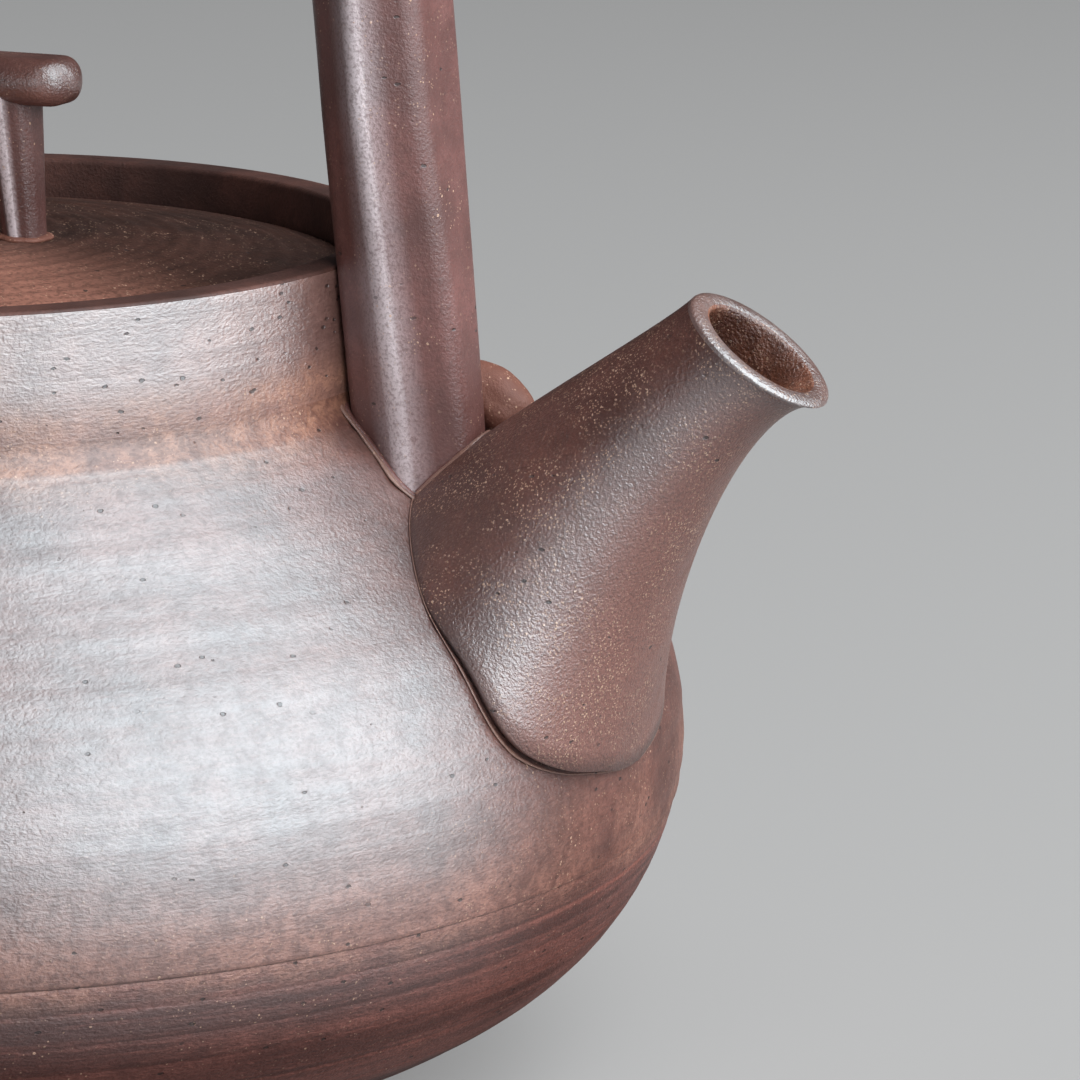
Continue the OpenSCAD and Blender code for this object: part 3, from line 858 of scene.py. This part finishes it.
def leaning(x, z):
    """A distance from the pot's axis on the leaning leg, from the same distance in its section."""
    return x + LEG_X - (z - RIM_H) * LEAN


def leg_section(z):
    share = min(max((z - TOE_Z) / (NECK_Z - TOE_Z), 0), 1)
    return six_sided(*(mixed(a, b, share) for a, b in zip(TOE, GRIP)))


def leg_foot(point):
    """The height at which a line of the leg reaches the shoulder."""
    z = TOE_Z
    for _ in range(8):
        r = hypot(leaning(point.x, z), point.y)
        z = SHOULDER_EDGE[1] + (SHOULDER_EDGE[0] - r) * tan(radians(SLOPE))
    return z


def leg(side):
    toe, highlight_tones = leg_section(TOE_Z)
    starts = [leg_foot(p) - SUNK for p in toe]
    rings = []
    for row in range(LEG_ROWS + 1):
        share = (row / LEG_ROWS) ** 1.3
        ring = []
        for column, start in enumerate(starts):
            z = mixed(start, GRIP_Z, share)
            p = leg_section(z)[0][column]
            x = leaning(p.x, z)
            drift = 0.12 * noise.noise(Vector((side * 9, 0, z * 0.05))) * settled(z, TOE_Z, NECK_Z)
            ring.append(Vector((side * (x - abs(drift)), p.y * (1 - 0.01 * abs(drift)), z)))
        rings.append(ring)
    return wrapped(rings, layers={"tone": highlight_tones})


for side, name in SIDES:
    node = name + "_handle_leg"
    finished(leg(side), name + "_leg", "pot", [handle_clay], [node], crease=50)

# %% Slip round the handle's feet
def foot_slip(side, gap, width, seed):
    """A bead round a foot, at a gap from the leg; the seed sets where it is thick."""
    toe = six_sided(TOE[0] + 2 * gap, TOE[1] + 2 * gap, TOE[2] + gap)[0]
    path, ups, widths = [], [], []
    for p in toe:
        z = leg_foot(p)
        path.append(Vector((side * leaning(p.x, z), p.y, z)))
        ups.append(Vector((side * cos(radians(TURN)), 0, sin(radians(TURN)))))
        widths.append(width * (1 + 0.5 * noise.noise(Vector((p.x * 0.6, p.y * 0.6, seed)))))
    return bead(path, ups, widths)


for side, name in SIDES:
    inner, outer = foot_slip(side, 0.3, 0.34, 3), foot_slip(side, 0.85, 0.3, 8)
    finished(inner, name + "_leg_slip", "pot", [handle_clay], crease=80)
    finished(outer, name + "_leg_bead", "pot", [slip_clay], crease=80)

# %% [markdown]
# The front leg also stands on the spout. The join runs round the leg at the height where each of its
# lines meets the spout's upper face, which two nested halvings find. A soft bead fills the corner, and a
# thin pale line of slip runs beside it.

# %% The join of the front leg and the spout
JOIN_HALVINGS = 22


def spout_top_at(x, y):
    """Height of the spout's upper face over a place."""
    def beside(t):
        angle = halved(-pi / 2, pi / 2, lambda a: on_spout(t, a).y > y, JOIN_HALVINGS)
        return on_spout(t, angle)

    t = halved(0.0, ROOT_END, lambda t: beside(t).x < x, JOIN_HALVINGS)
    return beside(t).z


def join_path():
    columns = len(leg_section(TOE_Z)[0])
    path, ups = [], []
    for i in range(columns):
        column = (i + columns // 2) % columns
        z = TOE_Z
        for _ in range(4):
            p = leg_section(z)[0][column]
            x = leaning(p.x, z)
            z = spout_top_at(x, p.y)
        if p.x > 0 and z > leg_foot(p):
            path.append(Vector((x, p.y, z)))
            ups.append((Vector((p.x, p.y, 0)).normalized() + Vector((-0.5, 0, 0.86))).normalized())
    return path, ups


path, ups = join_path()
widths = [0.4 + 0.15 * noise.noise(spot * 0.5) for spot in path]
join_bead = bead(path, ups, widths, closed=False)
finished(join_bead, "join_slip", "pot", [handle_clay], crease=80)

LINE_GAP = 0.75
line_path = []
for spot, up in zip(path, ups):
    away = Vector((up.x + 0.5, up.y, 0)).normalized() * LINE_GAP
    x, y = spot.x + away.x, spot.y + away.y
    line_path.append(Vector((x, y, spout_top_at(x, y))))
widths = [0.3 + 0.14 * noise.noise(spot * 0.6) for spot in path]
line_bead = bead(line_path, ups, widths, closed=False)
finished(line_bead, "join_line", "pot", [slip_clay], crease=80)

# %% [markdown]
# Behind the front leg, in the corner over the spout, a thumb of clay was pressed in to hold both
# together. A ball is stretched along the slope and made uneven by a noise.

# %% The clay pressed in behind the front leg
DAB, DAB_SIZE, DAB_TILT = (57.3, 5.0, 67.5), (4.6, 3.0, 2.7), radians(37)
bm = bmesh.new()
bmesh.ops.create_icosphere(bm, subdivisions=4, radius=1)
for vert in bm.verts:
    vert.co *= 1 + 0.12 * noise.noise(vert.co * 1.4)
bmesh.ops.scale(bm, vec=DAB_SIZE, verts=bm.verts[:])
bmesh.ops.rotate(bm, cent=(0, 0, 0), matrix=Matrix.Rotation(DAB_TILT, 3, "Y"), verts=bm.verts[:])
bmesh.ops.translate(bm, vec=DAB, verts=bm.verts[:])
finished(bm, "pressed_dab", "pot", [dab_clay])

# %% [markdown]
# The bar that joins the legs has the same six-sided section, lying on its side, and its ends are rounded
# both from above and from the front. The rings shrink towards the ends by two quarter circles, one for
# the height and one for the depth.

# %% The handle's bar
def bar(section, length, thick, wide, z, rows):
    """A bar along X through a section of (up, sideways) points, with rounded ends."""
    ends = [-cos(pi * row / rows) for row in range(rows + 1)]
    rings = []
    for end in ends:
        x = end * length / 2
        up = sqrt(max(0, 1 - max(0, (abs(x) - length / 2 + thick / 2) / (thick / 2)) ** 2))
        deep = sqrt(max(0, 1 - max(0, (abs(x) - length / 2 + wide / 2) / (wide / 2)) ** 2))
        rings.append([Vector((x, p.y * deep, z + p.x * up)) for p in section])
    return rings


GRIP_L, GRIP_ROWS = 116, 120
grip_points, grip_highlight_tones = six_sided(*GRIP)
grip_rings = bar(grip_points, GRIP_L, GRIP_T, GRIP[0], GRIP_Z, GRIP_ROWS)
grip_mesh = wrapped(grip_rings, layers={"tone": grip_highlight_tones})
finished(grip_mesh, "grip_bar", "pot", [handle_clay], ["handle_grip"], crease=50)

# %% [markdown]
# ## The lid
# The lid is a low dome that sits inside the collar. Its top still shows the rings of the turning tool,
# close together, and they are part of the outline here. Its front edge is painted paler, as painted light,
# which the mesh carries as a tone, and its clay is darkened as painted shade. A flange underneath keeps it
# in place, and a small hole in the middle lets the steam out.

# %% The lid's outline and flange
LID_R, LID_EDGE_Z, LID_UNDER_Z, CROWN, LID_T, VENT_R = 41.0, 76.2, 72.3, 4.2, 3.9, 1.6
FLANGE_R, FLANGE_T, FLANGE_H = 36.7, 3.4, 8.0
DOME_R = (LID_R ** 2 + CROWN ** 2) / (2 * CROWN)
DOME_Z = LID_EDGE_Z + CROWN - DOME_R
LID_ROW = 0.32
LIT_FRONT_WAY, LIT_FRONT_SPAN = Vector((-0.15, -1, 0)).normalized(), (-6, 14)


def lid_top(r):
    """The dome with its turning rings, which only cut into it."""
    rings = 0.05 * (1 - cos(2 * pi * r / 1.9)) + 0.04 * (1 - cos(2 * pi * r / 4.3 + 1))
    rings += 0.05 * (1 - cos(2 * pi * r / 9.7 + 2)) * settled(r, 6, 12)
    return DOME_Z + sqrt(DOME_R ** 2 - r ** 2) - rings


VENT_EDGE, LID_ROUND = 0.3, 0.7
count = round((LID_R - VENT_R) / LID_ROW)
first_r, last_r = VENT_R + VENT_EDGE, LID_R - LID_ROUND
steps = [mixed(first_r, last_r, i / count) for i in range(count + 1)]
top = [(r, lid_top(r)) for r in reversed(steps)]
edge = [(LID_R - 0.4, LID_UNDER_Z), (LID_R, LID_UNDER_Z + 0.4), (LID_R, LID_EDGE_Z - 0.7),
        (LID_R - 0.2, LID_EDGE_Z - 0.25)]
under_r = DOME_R - LID_T
recess = FLANGE_R - FLANGE_T
under = [(r, DOME_Z + sqrt(under_r ** 2 - r ** 2)) for r in (VENT_R, 8, 16, 24, recess)]
lid_line = edge + top + [(VENT_R, lid_top(VENT_R) - 0.4)] + under + [(recess, LID_UNDER_Z)]
lid_mesh = turned(lid_line)
# Painted light: the front edge of the lid gets a lighter tone.
painted_lit_front = lid_mesh.verts.layers.float.new("tone")
for vert in lid_mesh.verts:
    near_front = settled(LIT_FRONT_WAY.dot(vert.co), *LIT_FRONT_SPAN)
    vert[painted_lit_front] = near_front * settled(vert.co.z, LID_EDGE_Z - 0.8, LID_EDGE_Z)
finished(lid_mesh, "turned_lid", "lid", [lid_clay], ["lid_plate"])

FLANGE_SOFT = 0.7
low_z = LID_UNDER_Z - FLANGE_H + FLANGE_SOFT
flange_line = [(FLANGE_R, LID_UNDER_Z)]
flange_line += arc((FLANGE_R - FLANGE_SOFT, low_z), FLANGE_SOFT, 0, -90, 5)
flange_line += arc((recess + FLANGE_SOFT, low_z), FLANGE_SOFT, -90, -180, 5) + [(recess, LID_UNDER_Z)]
finished(turned(flange_line), "lid_ring", "lid", [lid_clay], ["lid_flange"])

# %% [markdown]
# ## The knob
# The knob is the handle in small: a round-ended bar on two leaning, ridged legs, joined to the lid with
# slip. The same functions make it.

# %% The knob's legs and bar
KNOB_X, KNOB_Z, KNOB_T, KNOB_W, KNOB_L = 11.8, 94.6, 4.4, 6.8, 35.4
KNOB_LEG, KNOB_TAPER, KNOB_ROUND = (6.4, 5.2, 3.8), (0.7, 1.04), 0.8
KNOB_ROWS = 24


def on_dome(x, y):
    return DOME_Z + sqrt(DOME_R ** 2 - x * x - y * y)


def knob_leg(side):
    points, highlight_tones = six_sided(*KNOB_LEG, size=KNOB_ROUND)
    rings = []
    for row in range(KNOB_ROWS + 1):
        ring = []
        for p in points:
            spot = p * mixed(*KNOB_TAPER, row / KNOB_ROWS)
            low = on_dome(spot.x + KNOB_X, spot.y) - 0.6
            z = mixed(low, KNOB_Z, row / KNOB_ROWS)
            ring.append(Vector((side * (spot.x + KNOB_X - (z - RIM_H) * LEAN), spot.y, z)))
        rings.append(ring)
    return wrapped(rings, layers={"tone": highlight_tones})


def knob_slip(side):
    path = []
    for p in six_sided(*KNOB_LEG, size=KNOB_ROUND)[0]:
        spot = p * (KNOB_TAPER[0] + 0.05)
        path.append(Vector((side * (spot.x + KNOB_X), spot.y, on_dome(spot.x + KNOB_X, spot.y))))
    widths = [0.6 + 0.2 * noise.noise(p * 0.5) for p in path]
    return bead(path, [Vector((0, 0, 1))] * len(path), widths)


for side, name in SIDES:
    node = name + "_knob_leg"
    finished(knob_leg(side), name + "_post", "lid", [knob_clay], [node], crease=50)
    finished(knob_slip(side), name + "_post_slip", "lid", [dab_clay], crease=80)

KNOB_SOFT = 2.1
half_w, half_t = KNOB_W / 2, KNOB_T / 2
knob_section = []
for turn_from, out, up in ((0, 1, 1), (90, -1, 1), (180, -1, -1), (270, 1, -1)):
    middle = (out * (half_w - KNOB_SOFT), up * (half_t - KNOB_SOFT))
    knob_section += [Vector((z, y)) for y, z in arc(middle, KNOB_SOFT, turn_from, turn_from + 90, 8)]
BAR_ROWS = 90
knob_mesh = wrapped(bar(knob_section, KNOB_L, KNOB_T, KNOB_W, KNOB_Z, BAR_ROWS))
finished(knob_mesh, "knob_top", "lid", [top_clay], ["knob_bar"], crease=50)

# %% [markdown]
# ## The strainer
# The pierced disc behind the spout already has its full shape in the solid model, so it stays and only
# gets its clay.

# %% The strainer's finish
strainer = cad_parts["strainer"]
strainer.data.materials.clear()
strainer.data.materials.append(throat_clay)
print("strainer keeps its", len(strainer.data.polygons), "faces")

# %% [markdown]
# ## Floor and light
# The pot stands on a plain pale floor. One large soft lamp from the front right gives the broad satin
# sheen on the belly, and a weak one near the camera draws the lines on the ridges. The floor looks pale
# to the camera and in reflections, but throws little light back up, so the underside of the belly stays
# dark as it does in a studio.

# %% The floor
FLOOR_SEEN, FLOOR_LIT, FLOOR_GLOW, FLOOR_SIZE = (0.27, 0.27, 0.27), (0.08, 0.08, 0.08), 0.19, 6


def floor_material():
    mix = Recipe("pale_floor")
    rays = mix.node("LightPath", {}, "Is Camera Ray")
    glossy = rays.node.outputs["Is Glossy Ray"]
    through = rays.node.outputs["Is Transmission Ray"]
    shown = mix.sums(mix.sums(rays, glossy, "MAXIMUM"), through, "MAXIMUM")
    mix.set("Base Color", mix.blend(shown, FLOOR_LIT, FLOOR_SEEN))
    mix.set("Roughness", 0.9)
    mix.set("Specular IOR Level", 0.0)
    mix.set("Emission Color", (1, 1, 1))
    mix.set("Emission Strength", mix.sums(shown, FLOOR_GLOW))
    return mix.material


bm = bmesh.new()
bmesh.ops.create_grid(bm, x_segments=1, y_segments=1, size=FLOOR_SIZE)
ground = bpy.data.meshes.new("floor")
bm.to_mesh(ground)
bm.free()
ground.materials.append(floor_material())
floor_object = bpy.data.objects.new("floor", ground)
scene.collection.objects.link(floor_object)

# %% The lamps
AIM = Vector((0.03, 0, 0.05))
COOL = (0.97, 0.99, 1.0)
SKY, SKY_LEVEL = (0.9, 0.95, 1.0, 1), 0.04


def lamp(name, turn, rise, far, wide, high, watts, lift):
    """A soft lamp. Turn and rise are its direction from the pot in degrees, the turn counted from the
    camera. Lift slides it up in its own plane, in metres, so that it stays above the floor."""
    light = bpy.data.lights.new(name, "AREA")
    light.shape = "RECTANGLE"
    light.size = wide
    light.size_y = high
    light.energy = watts
    light.color = COOL
    holder = bpy.data.objects.new(name, light)
    around = radians(VIEW_TURN + turn)
    level, up = cos(radians(rise)), sin(radians(rise))
    way = Vector((sin(around) * level, -cos(around) * level, up))
    facing = way.to_track_quat("Z", "Y")
    holder.location = AIM + way * far + facing @ Vector((0, lift, 0))
    holder.rotation_euler = facing.to_euler()
    scene.collection.objects.link(holder)


lamp("tall_right", turn=58, rise=30, far=0.9, wide=1.55, high=1.337, watts=27.3, lift=0.207)
lamp("low_left", turn=-30, rise=2, far=0.9, wide=0.34, high=0.26, watts=0.8, lift=0.14)

world = bpy.data.worlds.new("studio")
scene.world = world
world.use_nodes = True
sky = world.node_tree.nodes["Background"]
sky.inputs["Color"].default_value = SKY
sky.inputs["Strength"].default_value = SKY_LEVEL
scene.view_settings.view_transform = "Standard"
